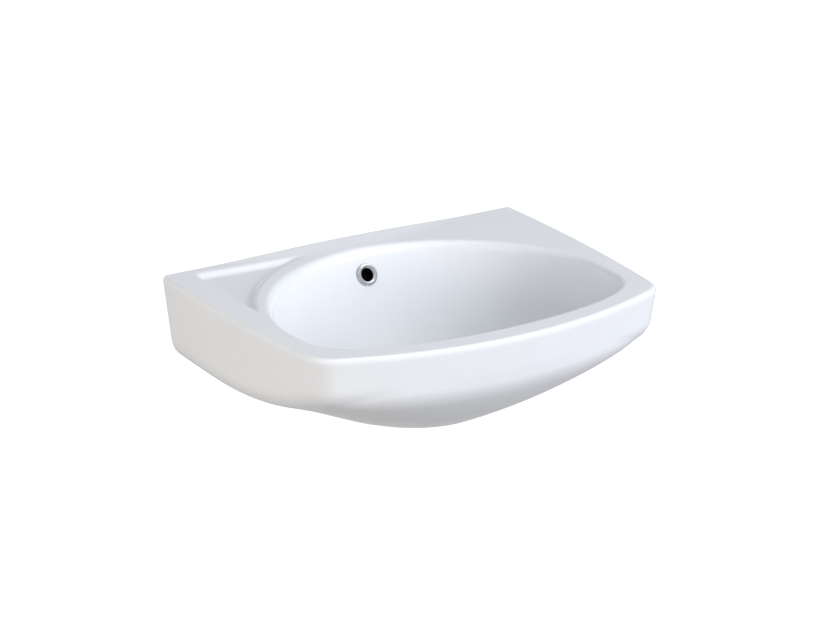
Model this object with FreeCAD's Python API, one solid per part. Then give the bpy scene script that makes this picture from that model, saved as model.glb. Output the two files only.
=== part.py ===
import FreeCAD, Part
import math
import os

V = FreeCAD.Vector

# Wall hung basin with an overflow, a push-open waste and its wall fixings. Sizes are in millimetres.
# X runs along the wall, -Y points into the room and +Z is up.
# The origin lies on the wall plane, midway between the two fixing studs.

# ---- Basin, outside ----
DECK_HEIGHT = 60.0              # deck above the fixing studs
BODY_WIDTH = 561.5              # over the side walls at the deck, at their widest
BODY_REACH = 443.5              # wall to the middle of the front, at the deck
WIDEST_FROM_WALL = 100.0
SIDE_BOW_RADIUS = 2400.0
FRONT_BOW_RADIUS = 600.0
CORNER_RADIUS = 42.0
SIDE_DEPTH = 126.0              # height of the side walls near the wall
SIDE_RUN = 52.0                 # how far out the side walls keep that height
APRON_DEPTH = 60.0              # height of the front apron
WALL_DRAFT = 7.0                # degrees that the side walls and the apron lean in
UNDER_RADIUS = 38.0             # rounding below the side walls and the apron
DECK_EDGE_RADIUS = 9.0
CROWN_HEIGHT = 3.5              # hump of the deck behind the bowl
CROWN_WIDTH = 350.0
CROWN_REACH = 38.0

# ---- Basin, belly below the bowl ----
BELLY_DEPTH = 170.0             # deck to the flat underside
BELLY_TOP_DEPTH = 48.0
BELLY_TOP = (255.0, 60.0, 436.5)    # half width, rear and front, at the top
BELLY_FOOT = (104.0, 118.0, 296.0)  # and at the flat underside
BELLY_SIDE_POWER = 1.7          # higher is fuller
BELLY_FRONT_POWER = 1.75
BELLY_CORNER_POWER = 4.5        # squareness of the belly's front, at its top

# ---- Basin, bowl ----
RIM = (238.0, 52.0, 402.0)      # half width, rear and front of the bowl, before its edge is rounded
RIM_WIDEST = 268.0              # wall to the widest place of the bowl
RIM_RADIUS = 11.0
RIM_CORNER_POWER = 4.0          # squareness of the bowl's front
ROUND_POWER = 1.88              # squareness of the bowl's back and sides
BOWL_DEPTH = 145.0
BOWL_SIDE_POWER = 4.0           # higher makes a wall steeper and the bowl fuller
BOWL_FRONT_POWER = 5.0
BOWL_REAR_POWER = 1.2
BOWL_FLOOR_ROUNDNESS = 1.6
BOWL_REAR_ROUNDNESS = 1.1
WASTE_FROM_WALL = 185.0
SUMP_RADIUS = 37.0              # flat round the outlet

# ---- Basin, walls and hollow ----
WALL = 10.0
DECK_THICKNESS = 14.0
BACK_WALL = 14.0
BACK_WALL_DEPTH = 88.0          # deck to the lower edge of the back wall
HOLLOW_REACH = 350.0
COVER_CENTRE = 286.0            # wall to the centre of the bowl's round outside
COVER_RADII = (250.0, 246.0, 190.0)     # at the deck, at its bend and at the tray's underside
COVER_BEND_DEPTH = 80.0
OPENING_HALF_WIDTH = 212.0      # opening behind the belly, for the trap and the fixings
OPENING_REACH = 190.0

# ---- Soap recess in the rear left corner ----
RECESS_DEPTH = 6.0
RECESS_SIDE = 240.0             # its outer edge, from the middle of the basin
RECESS_REAR = 10.0              # its rear edge at the corner, from the wall
RECESS_REAR_END = 32.0          # its rear edge at the inner tip, from the wall
RECESS_END = 72.0               # its inner tip, from the middle of the basin
RECESS_TIP = 205.0              # its front tip, from the wall
RECESS_RIDGE = (170.0, 89.0)    # a place on its edge along the bowl, from the middle and from the wall
RECESS_END_RADIUS = 4.0
RECESS_FLOOR_RADIUS = 3.0

# ---- Overflow ----
OVERFLOW_DEPTH = 31.0
OVERFLOW_HOLE_RADIUS = 12.0
CHANNEL_WIDTH = 40.0
CHANNEL_GAP = 9.0
CHANNEL_COVER = 7.0             # floor of the bowl above the channel
CHANNEL_TOP_DEPTH = 20.0
RING_RADIUS = 15.6
RING_BORE_RADIUS = 8.8
RING_THICKNESS = 3.4
RING_BEVEL = 2.2
RING_SLEEVE = 8.0
RING_STANDOFF = 0.8             # ring's flat back to the middle of the curved wall
SLIP_FIT = 0.3                  # gap round a piece that is pushed into a hole

# ---- Waste ----
OUTLET_RADIUS = 23.0
TAIL_RADIUS = 20.95             # 1 1/4 inch pipe thread, over the crests
TAIL_NECK_RADIUS = 20.4         # above the thread and in its relief
TAIL_RELIEF = 1.5               # width of the relief below the back nut
TAIL_BORE_RADIUS = 17.5
TAIL_END_DEPTH = 200.0          # deck to the lower end of the tail
THREAD_FIT = 0.1
FLANGE_RADIUS = 32.0
FLANGE_THICKNESS = 4.0
FLANGE_EDGE = 2.0
SEAT_DEPTH = 2.0                # recess of the flange that the plug's seal closes
UPPER_SEAL = 2.0
SLOT_WIDTH = 12.0
SLOT_COUNT = 4
GASKET_RADIUS = 34.0
GASKET_THICKNESS = 4.0
SLIP_WASHER_RADIUS = 31.0
SLIP_WASHER_THICKNESS = 1.5
NUT_ACROSS_FLATS = 56.0
NUT_THICKNESS = 8.0

# ---- Push-open plug, drawn shut ----
RUNNING_FIT = 0.3
PLUG_RADIUS = 28.0
PLUG_EDGE = 2.0
PLUG_BEVEL = (6.0, 2.0)         # width and height of the slope round its flat top
PLUG_SEAL_RADIUS = 22.0
PLUG_SEAL_BORE_RADIUS = 12.0
SPINDLE_LENGTH = 24.0
CARTRIDGE_RADIUS = 8.0
CARTRIDGE_BORE_RADIUS = 5.5
CARTRIDGE_GAP = 4.0             # plug to the top of the cartridge
CARTRIDGE_FLOOR = 3.0
CARTRIDGE_STEM_RADIUS = 5.0
SPIDER_DEPTH = 176.0            # deck to the top of the cross bar inside the tail
SPIDER_THICKNESS = 6.0
SPIDER_WIDTH = 6.0
SPIDER_HUB_RADIUS = 9.0

# ---- Wall fixing ----
STUD_SPACING = 280.0
STUD_RADIUS = 5.0               # coarse thread in the wall
STUD_THREAD_RADIUS = 4.9        # fine thread for the nut, over the crests
STUD_IN_WALL = 60.0
STUD_POINT = 8.0
STUD_TIP = 4.0                  # stud beyond its nut
STUD_HOLE_RADIUS = 14.0
BUSH_FLANGE_RADIUS = 21.0
BUSH_FLANGE = 4.0
BUSH_SLEEVE = 12.0
WASHER_RADIUS = 15.0
WASHER_THICKNESS = 2.0
STUD_NUT_FLATS = 17.0
STUD_NUT_THICKNESS = 8.0
CAP_RADIUS = 12.0
CAP_WALL = 1.6
CAP_GAP = 1.0                   # stud to the inside of its cover

OVAL_POINTS = 16                # points on a closed curve of the bowl or the belly
BOWL_STATIONS = 8
BELLY_STATIONS = 4
CHANNEL_STEPS = 6
OVERRUN = 20.0                  # how far a cutting solid stands past what it cuts
MARGIN = 1.0                    # small overlap of two solids that are joined or cut
NEAR = 0.1                      # places closer than this count as touching


def level(depth):
    """Height of a place that lies this far below the deck."""
    return DECK_HEIGHT - depth


def block(x, y, z):
    """Box between two values on each axis."""
    return Part.makeBox(x[1] - x[0], y[1] - y[0], z[1] - z[0], V(x[0], y[0], z[0]))


def closed_face(points):
    """Flat face inside a closed outline of straight edges."""
    return Part.Face(Part.makePolygon(points + points[:1]))


def turned(profile):
    """Closed profile of (radius, height) points, turned about the upright axis."""
    face = closed_face([V(radius, 0, height) for radius, height in profile])
    return face.revolve(V(0, 0, 0), V(0, 0, 1), 360)


def tube(outer, inner, low, high):
    """Upright tube between two heights."""
    return turned([(inner, low), (outer, low), (outer, high), (inner, high)])


def hexagon(across_flats, low, high):
    """Upright six sided prism between two heights."""
    corner = across_flats / math.sqrt(3)
    turns = [turn * math.pi / 3 for turn in range(6)]
    outline = closed_face([V(corner * math.cos(turn), corner * math.sin(turn), low) for turn in turns])
    return outline.extrude(V(0, 0, high - low))


def placed(solid, centre, normal):
    """Upright solid, moved to a centre and turned so that its top faces along the normal."""
    solid.Placement = FreeCAD.Placement(centre, FreeCAD.Rotation(V(0, 0, 1), normal))
    return solid


def at_outlet(solid):
    """Upright solid, moved onto the axis of the outlet."""
    return placed(solid, V(0, -WASTE_FROM_WALL, 0), V(0, 0, 1))


def at_studs(solid):
    """Upright solid, laid on both stud axes with its top facing the room."""
    sides = (-STUD_SPACING / 2, STUD_SPACING / 2)
    return Part.makeCompound([placed(solid.copy(), V(x, 0, 0), V(0, -1, 0)) for x in sides])


# ---- Basin ----

def drafted(size, depth):
    """Size at this depth of a wall that leans in by the draft."""
    return size - depth * math.tan(math.radians(WALL_DRAFT))


def bowed_wall(x, y, radius, top, foot):
    """Solid cone with the leaning round wall that a bowed side belongs to."""
    return Part.makeCone(drafted(radius, foot), drafted(radius, top), foot - top, V(x, y, level(foot)))


def front_centre():
    """Centre of the front's bow, in front of or behind the wall plane."""
    return FRONT_BOW_RADIUS - BODY_REACH


def underside_run():
    """Distance from the front's centre at which the level underside starts to rise."""
    return math.hypot(BODY_WIDTH / 2, front_centre() + SIDE_RUN)


def underside_depth(run):
    """Depth of the tray's underside at this distance from the front's centre."""
    rise = SIDE_DEPTH - APRON_DEPTH
    width = FRONT_BOW_RADIUS - underside_run()
    radius = (width ** 2 + rise ** 2) / (2 * rise)
    out = max(run - underside_run(), 0.0)
    return SIDE_DEPTH - radius + math.sqrt(radius ** 2 - out ** 2)


def below_underside(raised):
    """Everything below the tray's underside, or below a floor raised from it."""
    tip = FRONT_BOW_RADIUS + OVERRUN
    middle = (underside_run() + tip) / 2
    bend, bow, end = [V(run, 0, level(underside_depth(run)) + raised) for run in (underside_run(), middle, tip)]
    floor = level(SIDE_DEPTH + 2 * UNDER_RADIUS)
    corners = [end, V(tip, 0, floor), V(0, 0, floor), V(0, 0, bend.z), bend]
    edges = [Part.Arc(bend, bow, end).toShape()] + Part.makePolygon(corners).Edges
    dish = Part.Face(Part.Wire(edges)).revolve(V(0, 0, 0), V(0, 0, 1), 360)
    dish.translate(V(0, front_centre(), 0))
    return dish


def tray(inset, top, rear):
    """Deck, apron and side walls as one solid, smaller all round by the inset."""
    foot = SIDE_DEPTH + UNDER_RADIUS
    height = foot - top
    side_x = BODY_WIDTH / 2 - inset - SIDE_BOW_RADIUS
    room = block((-BODY_WIDTH, BODY_WIDTH), (-BODY_REACH - OVERRUN, -rear), (level(foot), level(top)))
    solid = bowed_wall(0, front_centre() + inset, FRONT_BOW_RADIUS, top, foot).common(room)
    for x in (side_x, -side_x):
        solid = solid.common(bowed_wall(x, -WIDEST_FROM_WALL, SIDE_BOW_RADIUS, top, foot))
    in_front = [edge for edge in solid.Edges if edge.BoundBox.YMax < -SIDE_RUN]
    corners = [edge for edge in in_front if edge.BoundBox.ZLength > height - MARGIN]
    solid = solid.makeFillet(CORNER_RADIUS - inset, corners)
    return solid.cut(below_underside(inset))


def under_edges(solid):
    """Edges all round the tray's underside, apart from those at the wall."""
    edges = []
    for edge in solid.Edges:
        middle = edge.valueAt((edge.FirstParameter + edge.LastParameter) / 2)
        run = math.hypot(middle.x, middle.y - front_centre())
        on_underside = abs(middle.z - level(underside_depth(run))) < NEAR
        seam = abs(middle.x) < NEAR and abs(run - underside_run()) < NEAR
        if on_underside and middle.y < -MARGIN and not seam:
            edges.append(edge)
    return edges


def deck_edges(solid):
    """Edges all round the deck, apart from the one at the wall."""
    at_deck = [edge for edge in solid.Edges if edge.BoundBox.ZMin > level(NEAR)]
    return [edge for edge in at_deck if edge.BoundBox.YMin < -MARGIN]


def oval(half_width, rear, front, widest, front_power, depth):
    """Closed curve at one depth, rounder towards the wall than towards the room."""
    points = []
    for step in range(OVAL_POINTS):
        angle = 2 * math.pi * step / OVAL_POINTS
        across = math.cos(angle)
        out = math.sin(angle)
        reach = widest - rear if out > 0 else front - widest
        power = ROUND_POWER if out > 0 else front_power
        low = 0.0
        high = 1.5
        for halving in range(40):
            share = (low + high) / 2
            inside = abs(share * across) ** ROUND_POWER + abs(share * out) ** power < 1
            low = share if inside else low
            high = high if inside else share
        points.append(V(half_width * share * across, reach * share * out - widest, level(depth)))
    curve = Part.BSplineCurve()
    curve.interpolate(Points=points, PeriodicFlag=True)
    return Part.Wire([curve.toShape()])


def between(start, end, share, power):
    """Value that leaves start slowly and reaches end at full slope."""
    return start + (end - start) * share ** power


def belly():
    """Rounded underside of the bowl, down to its flat foot."""
    wires = []
    for step in range(BELLY_STATIONS):
        share = step / (BELLY_STATIONS - 1)
        half_width = between(BELLY_TOP[0], BELLY_FOOT[0], share, BELLY_SIDE_POWER)
        rear = between(BELLY_TOP[1], BELLY_FOOT[1], share, 1)
        front = between(BELLY_TOP[2], BELLY_FOOT[2], share, BELLY_FRONT_POWER)
        power = between(BELLY_CORNER_POWER, ROUND_POWER, share, 1)
        depth = between(BELLY_TOP_DEPTH, BELLY_DEPTH, share, 1)
        wires.append(oval(half_width, rear, front, (rear + front) / 2, power, depth))
    return Part.makeLoft(wires, True)


def eased(start, end, share, power, roundness):
    """Value that leaves start slowly and turns level at end, along a rounded quarter."""
    kept = (1 - share ** power) ** (1 / roundness) if share < 1 else 0.0
    return end + (start - end) * kept


def bowl_rear(depth):
    """Distance of the bowl's rear wall from the wall plane, on the middle plane."""
    share = min(depth / BOWL_DEPTH, 1.0)
    return eased(RIM[1], WASTE_FROM_WALL - SUMP_RADIUS, share, BOWL_REAR_POWER, BOWL_REAR_ROUNDNESS)


def bowl():
    """Space inside the bowl, from the deck down to the flat round the outlet."""
    wires = []
    for step in range(BOWL_STATIONS):
        share = math.sin(math.pi / 2 * step / (BOWL_STATIONS - 1))
        half_width = eased(RIM[0], SUMP_RADIUS, share, BOWL_SIDE_POWER, BOWL_FLOOR_ROUNDNESS)
        front_end = WASTE_FROM_WALL + SUMP_RADIUS
        front = eased(RIM[2], front_end, share, BOWL_FRONT_POWER, BOWL_FLOOR_ROUNDNESS)
        widest = eased(RIM_WIDEST, WASTE_FROM_WALL, share, BOWL_SIDE_POWER, BOWL_FLOOR_ROUNDNESS)
        power = eased(RIM_CORNER_POWER, ROUND_POWER, share, BOWL_SIDE_POWER, BOWL_FLOOR_ROUNDNESS)
        depth = share * BOWL_DEPTH
        wires.append(oval(half_width, bowl_rear(depth), front, widest, power, depth))
    return Part.makeLoft(wires, True)


def rim_edges(solid):
    """Edges where the bowl meets the deck."""
    at_deck = [edge for edge in solid.Edges if edge.BoundBox.ZMin > level(NEAR)]
    across = RIM[0] + RIM_RADIUS
    inside = [edge for edge in at_deck if edge.BoundBox.XMin > -across and edge.BoundBox.XMax < across]
    return [edge for edge in inside if -RIM[2] - MARGIN < edge.BoundBox.YMin < -BACK_WALL]


def crown():
    """Low hump of the deck between the bowl and the wall."""
    radius = (CROWN_WIDTH ** 2 / 4 + CROWN_HEIGHT ** 2) / (2 * CROWN_HEIGHT)
    top = level(-CROWN_HEIGHT)
    drum = Part.makeCylinder(radius, 2 * CROWN_REACH, V(0, CROWN_REACH, top - radius), V(0, -1, 0))
    drum.rotate(V(0, 0, top), V(1, 0, 0), math.degrees(math.atan2(CROWN_HEIGHT, CROWN_REACH)))
    return drum.common(block((-CROWN_WIDTH, CROWN_WIDTH), (-CROWN_REACH, 0), (level(MARGIN), top)))


def recess():
    """Shallow soap tray between the corner of the deck and the ridge round the bowl."""
    floor = level(RECESS_DEPTH)
    corner = V(-RECESS_SIDE, -RECESS_REAR, floor)
    tip = V(-RECESS_END, -RECESS_REAR_END, floor)
    ridge = V(-RECESS_RIDGE[0], -RECESS_RIDGE[1], floor)
    front = V(-RECESS_SIDE, -RECESS_TIP, floor)
    edges = Part.makePolygon([front, corner, tip]).Edges + [Part.Arc(tip, ridge, front).toShape()]
    pocket = Part.Face(Part.Wire(edges)).extrude(V(0, 0, RECESS_DEPTH + OVERRUN))
    ends = [edge for edge in pocket.Edges if edge.BoundBox.ZLength > RECESS_DEPTH]
    pocket = pocket.makeFillet(RECESS_END_RADIUS, ends)
    below = [edge for edge in pocket.Edges if edge.BoundBox.ZMax < floor + NEAR]
    return pocket.makeFillet(RECESS_FLOOR_RADIUS, below)


def beside_rear_wall(outset, top, foot, width):
    """Slab that follows the bowl's rear wall, from inside the bowl out to this outset."""
    depths = [between(top, foot, step / CHANNEL_STEPS, 1) for step in range(CHANNEL_STEPS + 1)]
    points = [V(-width / 2, outset - bowl_rear(depth), level(depth)) for depth in depths]
    points.append(V(-width / 2, -WASTE_FROM_WALL, level(foot)))
    points.append(V(-width / 2, -WASTE_FROM_WALL, level(top)))
    return closed_face(points).extrude(V(width, 0, 0))


def channel_floor_depth():
    """Deck to the channel's lower side, where it enters the outlet."""
    return BOWL_DEPTH + CHANNEL_COVER + CHANNEL_GAP


def overflow_channel():
    """Channel cast behind the bowl's rear wall, from the overflow down to the outlet."""
    outer = beside_rear_wall(WALL + CHANNEL_GAP, CHANNEL_TOP_DEPTH, channel_floor_depth(), CHANNEL_WIDTH)
    wall = beside_rear_wall(WALL, CHANNEL_TOP_DEPTH - MARGIN, BOWL_DEPTH + CHANNEL_COVER, 2 * CHANNEL_WIDTH)
    return outer.cut(wall)


def channel_rib():
    """Ceramic round the overflow channel."""
    return beside_rear_wall(2 * WALL + CHANNEL_GAP, DECK_THICKNESS / 2, BELLY_DEPTH, CHANNEL_WIDTH + 2 * WALL)


def bowl_cover():
    """Plain round outside of the bowl, that the hollow leaves standing."""
    top, bend, foot = COVER_RADII
    upper = Part.makeCone(bend, top, COVER_BEND_DEPTH, V(0, -COVER_CENTRE, level(COVER_BEND_DEPTH)))
    drop = SIDE_DEPTH - COVER_BEND_DEPTH
    return upper.fuse(Part.makeCone(foot, bend, drop, V(0, -COVER_CENTRE, level(SIDE_DEPTH))))


def hollow():
    """Space between the side walls and the bowl, below the deck and in front of the back wall."""
    inside = tray(WALL, DECK_THICKNESS, BACK_WALL)
    depths = (level(BELLY_DEPTH), level(0))
    front = block((-BODY_WIDTH, BODY_WIDTH), (-2 * BODY_REACH, -HOLLOW_REACH), depths)
    return inside.cut(bowl_cover()).cut(front).cut(channel_rib())


def rear_opening():
    """Opening below the back wall and in the floor round the back of the belly."""
    reach = OPENING_REACH / OPENING_HALF_WIDTH
    height = WALL + OVERRUN + MARGIN
    arch = Part.makeCylinder(OPENING_HALF_WIDTH, height, V(0, 0, level(SIDE_DEPTH + OVERRUN)))
    squash = FreeCAD.Matrix()
    squash.scale(1, reach, 1)
    floor = arch.transformGeometry(squash)
    sides = (-OPENING_HALF_WIDTH, OPENING_HALF_WIDTH)
    notch = block(sides, (-BACK_WALL, 0), (level(SIDE_DEPTH + OVERRUN), level(BACK_WALL_DEPTH)))
    return floor.cut([belly(), channel_rib()]).fuse(notch)


def overflow_axis():
    """Centre of the overflow on the bowl's rear wall, and the way that it faces."""
    slope = bowl_rear(OVERFLOW_DEPTH + 0.5) - bowl_rear(OVERFLOW_DEPTH - 0.5)
    normal = V(0, -1, slope).normalize()
    return V(0, -bowl_rear(OVERFLOW_DEPTH), level(OVERFLOW_DEPTH)), normal


def overflow_hole():
    """Drill for the overflow, from inside the bowl into the channel."""
    centre, normal = overflow_axis()
    length = OVERRUN + WALL + CHANNEL_GAP / 2
    return Part.makeCylinder(OVERFLOW_HOLE_RADIUS, length, centre + normal * OVERRUN, -normal)


def outlet_hole():
    """Drill for the waste, down through the belly."""
    length = BELLY_DEPTH - BOWL_DEPTH + 2 * OVERRUN
    return at_outlet(Part.makeCylinder(OUTLET_RADIUS, length, V(0, 0, level(BELLY_DEPTH + OVERRUN))))


def ceramic_basin():
    """Glazed ceramic body: a drafted tray with a belly, a bowl, a hollow and a cast-in overflow."""
    body = tray(0, 0, 0)
    body = body.makeFillet(UNDER_RADIUS, under_edges(body))
    body = body.makeFillet(DECK_EDGE_RADIUS, deck_edges(body))
    body = body.fuse([belly(), channel_rib()])
    body = body.cut(bowl())
    body = body.makeFillet(RIM_RADIUS, rim_edges(body))
    body = body.fuse(crown()).cut(recess())
    body = body.cut([hollow(), rear_opening()])
    stud_holes = at_studs(Part.makeCylinder(STUD_HOLE_RADIUS, BACK_WALL + OVERRUN, V(0, 0, -OVERRUN / 2)))
    return body.cut([overflow_hole(), overflow_channel(), outlet_hole(), stud_holes])


def overflow_ring():
    """Bevelled ring with a sleeve that is pushed into the overflow."""
    sleeve = OVERFLOW_HOLE_RADIUS - SLIP_FIT
    profile = [
        (RING_BORE_RADIUS, -RING_SLEEVE),
        (sleeve, -RING_SLEEVE),
        (sleeve, 0),
        (RING_RADIUS, 0),
        (RING_RADIUS, RING_THICKNESS - RING_BEVEL),
        (RING_RADIUS - RING_BEVEL, RING_THICKNESS),
        (RING_BORE_RADIUS + RING_BEVEL, RING_THICKNESS),
        (RING_BORE_RADIUS, RING_THICKNESS - RING_BEVEL),
    ]
    centre, normal = overflow_axis()
    return placed(turned(profile), centre + normal * RING_STANDOFF, normal)


# ---- Waste ----

def flange_seat():
    """Height of the waste's flange above the fixing studs."""
    return level(BOWL_DEPTH) + UPPER_SEAL


def flange_top():
    """Height of the top of the waste's flange."""
    return flange_seat() + FLANGE_THICKNESS


def back_nut_depth():
    """Deck to the top of the back nut."""
    return BELLY_DEPTH + GASKET_THICKNESS + SLIP_WASHER_THICKNESS


def spider():
    """Cross bar inside the tail, with a hub for the cartridge."""
    low = level(SPIDER_DEPTH + SPIDER_THICKNESS)
    high = level(SPIDER_DEPTH)
    reach = (TAIL_BORE_RADIUS + TAIL_RADIUS) / 2
    bar = block((-reach, reach), (-SPIDER_WIDTH / 2, SPIDER_WIDTH / 2), (low, high))
    bar = bar.fuse(Part.makeCylinder(SPIDER_HUB_RADIUS, high - low, V(0, 0, low)))
    return bar.cut(Part.makeCylinder(CARTRIDGE_STEM_RADIUS + SLIP_FIT, high - low, V(0, 0, low)))


def waste_body():
    """Flanged waste with overflow slots, a threaded tail and a cross bar."""
    foot = level(TAIL_END_DEPTH)
    thread_top = level(channel_floor_depth() + MARGIN)
    relief_top = level(back_nut_depth() + NUT_THICKNESS)
    ledge = flange_top() - SEAT_DEPTH
    seat_radius = PLUG_SEAL_RADIUS + 2 * RUNNING_FIT
    body = turned([
        (TAIL_BORE_RADIUS, foot),
        (TAIL_RADIUS, foot),
        (TAIL_RADIUS, relief_top - TAIL_RELIEF),
        (TAIL_NECK_RADIUS, relief_top - TAIL_RELIEF),
        (TAIL_NECK_RADIUS, relief_top),
        (TAIL_RADIUS, relief_top),
        (TAIL_RADIUS, thread_top),
        (TAIL_NECK_RADIUS, thread_top),
        (TAIL_NECK_RADIUS, flange_seat()),
        (FLANGE_RADIUS, flange_seat()),
        (FLANGE_RADIUS, flange_top() - FLANGE_EDGE),
        (FLANGE_RADIUS - FLANGE_EDGE, flange_top()),
        (seat_radius, flange_top()),
        (seat_radius, ledge),
        (TAIL_BORE_RADIUS, ledge),
    ])
    slot_heights = (level(channel_floor_depth()), level(BOWL_DEPTH + CHANNEL_COVER))
    for turn in range(SLOT_COUNT):
        slot = block((0, TAIL_RADIUS + MARGIN), (-SLOT_WIDTH / 2, SLOT_WIDTH / 2), slot_heights)
        slot.rotate(V(0, 0, 0), V(0, 0, 1), 90 + 360 * turn / SLOT_COUNT)
        body = body.cut(slot)
    return at_outlet(body.fuse(spider()))


def waste_upper_seal():
    """Flat seal between the flange and the bowl."""
    inner = TAIL_NECK_RADIUS + SLIP_FIT
    return at_outlet(tube(FLANGE_RADIUS - MARGIN, inner, level(BOWL_DEPTH), flange_seat()))


def waste_lower_gasket():
    """Thick gasket below the belly."""
    top = level(BELLY_DEPTH)
    return at_outlet(tube(GASKET_RADIUS, TAIL_RADIUS + SLIP_FIT, top - GASKET_THICKNESS, top))


def waste_slip_washer():
    """Thin washer that lets the back nut turn against the gasket."""
    top = level(BELLY_DEPTH + GASKET_THICKNESS)
    return at_outlet(tube(SLIP_WASHER_RADIUS, TAIL_RADIUS + SLIP_FIT, top - SLIP_WASHER_THICKNESS, top))


def waste_back_nut():
    """Six sided nut that clamps the waste to the basin."""
    top = level(back_nut_depth())
    low = top - NUT_THICKNESS
    thread = Part.makeCylinder(TAIL_RADIUS + THREAD_FIT, NUT_THICKNESS, V(0, 0, low))
    return at_outlet(hexagon(NUT_ACROSS_FLATS, low, top).cut(thread))


# ---- Plug ----

def plug_underside():
    """Height of the plug's underside when it is shut."""
    return flange_top() + RUNNING_FIT


def plug_cap():
    """Round plug with a flat top that slopes off to its edge."""
    low = plug_underside()
    edge = low + PLUG_EDGE
    width, height = PLUG_BEVEL
    return at_outlet(turned([
        (0, low),
        (PLUG_RADIUS - PLUG_EDGE, low),
        (PLUG_RADIUS, edge),
        (PLUG_RADIUS - width, edge + height),
        (0, edge + height),
    ]))


def plug_seal():
    """Ring below the plug that closes onto the flange's seat."""
    low = flange_top() - SEAT_DEPTH + RUNNING_FIT
    return at_outlet(tube(PLUG_SEAL_RADIUS, PLUG_SEAL_BORE_RADIUS, low, plug_underside()))


def plug_spindle():
    """Rod below the plug that slides in the cartridge."""
    low = plug_underside() - SPINDLE_LENGTH
    return at_outlet(Part.makeCylinder(CARTRIDGE_BORE_RADIUS - RUNNING_FIT, SPINDLE_LENGTH, V(0, 0, low)))


def plug_cartridge():
    """Push-open cartridge, held by its stem in the hub of the cross bar."""
    shoulder = level(SPIDER_DEPTH)
    stem_end = shoulder - SPIDER_THICKNESS - CARTRIDGE_FLOOR
    top = plug_underside() - CARTRIDGE_GAP
    return at_outlet(turned([
        (0, stem_end),
        (CARTRIDGE_STEM_RADIUS, stem_end),
        (CARTRIDGE_STEM_RADIUS, shoulder),
        (CARTRIDGE_RADIUS, shoulder),
        (CARTRIDGE_RADIUS, top),
        (CARTRIDGE_BORE_RADIUS, top),
        (CARTRIDGE_BORE_RADIUS, shoulder + CARTRIDGE_FLOOR),
        (0, shoulder + CARTRIDGE_FLOOR),
    ]))


# ---- Wall fixing ----

def bush_face():
    """Wall plane to the face of the bushes that the washers lie on."""
    return BACK_WALL + BUSH_FLANGE


def nut_face():
    """Wall plane to the face of the washers that the nuts lie on."""
    return bush_face() + WASHER_THICKNESS


def hanger_bolts():
    """Pointed studs, screwed into the wall and standing out of it."""
    tip = nut_face() + STUD_NUT_THICKNESS + STUD_TIP
    return at_studs(turned([
        (0, -STUD_IN_WALL),
        (STUD_RADIUS, STUD_POINT - STUD_IN_WALL),
        (STUD_RADIUS, 0),
        (STUD_THREAD_RADIUS, 0),
        (STUD_THREAD_RADIUS, tip),
        (0, tip),
    ]))


def fixing_bushes():
    """Flanged sleeves that centre the studs in the ceramic."""
    bore = STUD_RADIUS + SLIP_FIT
    sleeve = STUD_HOLE_RADIUS - SLIP_FIT
    return at_studs(turned([
        (bore, BACK_WALL - BUSH_SLEEVE),
        (sleeve, BACK_WALL - BUSH_SLEEVE),
        (sleeve, BACK_WALL),
        (BUSH_FLANGE_RADIUS, BACK_WALL),
        (BUSH_FLANGE_RADIUS, bush_face()),
        (bore, bush_face()),
    ]))


def fixing_washers():
    """Flat washers on the bushes."""
    return at_studs(tube(WASHER_RADIUS, STUD_RADIUS + SLIP_FIT, bush_face(), nut_face()))


def fixing_nuts():
    """Six sided nuts on the studs."""
    thread = Part.makeCylinder(STUD_THREAD_RADIUS + THREAD_FIT, STUD_NUT_THICKNESS, V(0, 0, nut_face()))
    return at_studs(hexagon(STUD_NUT_FLATS, nut_face(), nut_face() + STUD_NUT_THICKNESS).cut(thread))


def nut_caps():
    """Covers over the nuts."""
    top = nut_face() + STUD_NUT_THICKNESS + STUD_TIP + CAP_GAP
    return at_studs(turned([
        (CAP_RADIUS - CAP_WALL, nut_face()),
        (CAP_RADIUS, nut_face()),
        (CAP_RADIUS, top),
        (CAP_RADIUS - CAP_WALL, top + CAP_WALL),
        (0, top + CAP_WALL),
        (0, top),
        (CAP_RADIUS - CAP_WALL, top),
    ]))


os.makedirs("parts", exist_ok=True)
ceramic_basin().exportStep("parts/ceramic_basin.step")
overflow_ring().exportStep("parts/overflow_ring.step")
waste_body().exportStep("parts/waste_body.step")
waste_upper_seal().exportStep("parts/waste_upper_seal.step")
waste_lower_gasket().exportStep("parts/waste_lower_gasket.step")
waste_slip_washer().exportStep("parts/waste_slip_washer.step")
waste_back_nut().exportStep("parts/waste_back_nut.step")
plug_cap().exportStep("parts/plug_cap.step")
plug_seal().exportStep("parts/plug_seal.step")
plug_spindle().exportStep("parts/plug_spindle.step")
plug_cartridge().exportStep("parts/plug_cartridge.step")
hanger_bolts().exportStep("parts/hanger_bolts.step")
fixing_bushes().exportStep("parts/fixing_bushes.step")
fixing_washers().exportStep("parts/fixing_washers.step")
fixing_nuts().exportStep("parts/fixing_nuts.step")
nut_caps().exportStep("parts/nut_caps.step")
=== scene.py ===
import math

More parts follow.
